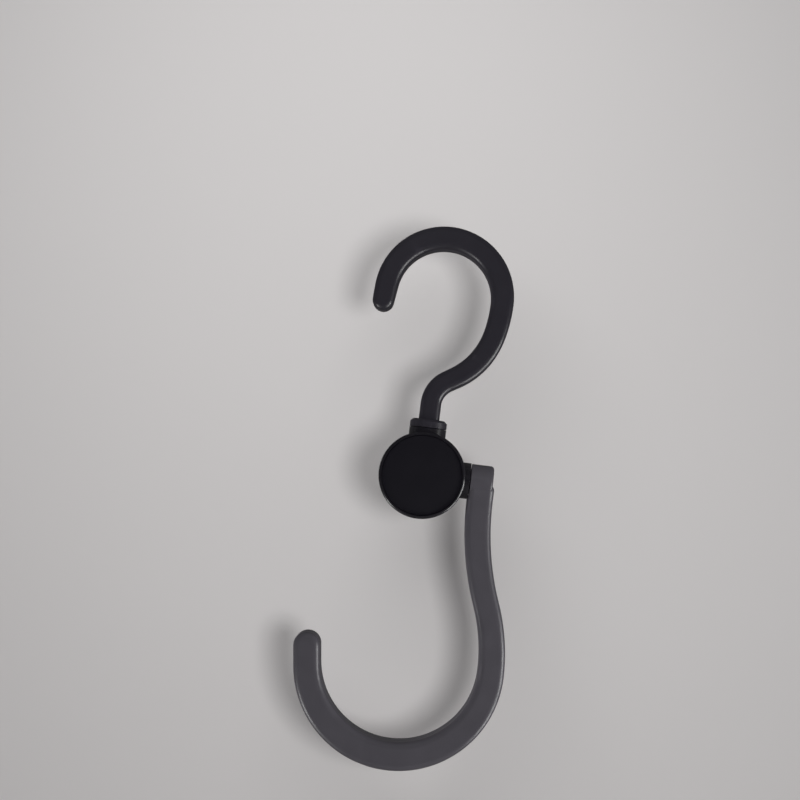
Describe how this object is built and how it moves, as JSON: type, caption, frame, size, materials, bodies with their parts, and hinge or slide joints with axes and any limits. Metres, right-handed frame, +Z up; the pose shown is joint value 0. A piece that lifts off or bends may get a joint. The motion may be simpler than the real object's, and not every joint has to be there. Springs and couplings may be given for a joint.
{
  "type": "folding travel hook",
  "caption": "Open upper hook that swivels on a round hub, with a larger open lower hook that folds about the hub on a level pivot.",
  "frame": {"origin": "centre of the round seat of the upper hook, where the bar that carries the hook lies", "axes": "+Z up along the swivel axis as the hook hangs, -Y towards the front face of the hub, +X to the side on which the lower hook pivots"},
  "size_m": [0.0677, 0.0136, 0.1739],
  "materials": {
    "black_nylon": "satin black moulded nylon",
    "hub_plastic": "black moulded plastic with a soft gloss",
    "cover_plastic": "fine matte black",
    "grey_nylon": "satin dark grey moulded nylon",
    "steel": "plain steel"
  },
  "bodies": {
    "hanger": {"upper_hook": "black_nylon", "swivel_washer": "steel", "swivel_screw": "steel"},
    "hub": {"front_shell": "hub_plastic", "rear_shell": "hub_plastic", "front_cover": "cover_plastic", "rear_cover": "cover_plastic", "shell_screws": "steel"},
    "arm": {"lower_hook": "grey_nylon", "pivot_spring_washer": "steel", "pivot_washer": "steel", "pivot_screw": "steel"}
  },
  "joints": [
    {"name": "swivel", "type": "hinge", "parent": "hanger", "child": "hub", "pos_m": [0, 0, -0.0572], "axis": [0, 0, 1], "continuous": true},
    {"name": "fold", "type": "hinge", "parent": "hub", "child": "arm", "pos_m": [0, 0, -0.0572], "axis": [-1, 0, 0], "continuous": true}
  ]
}
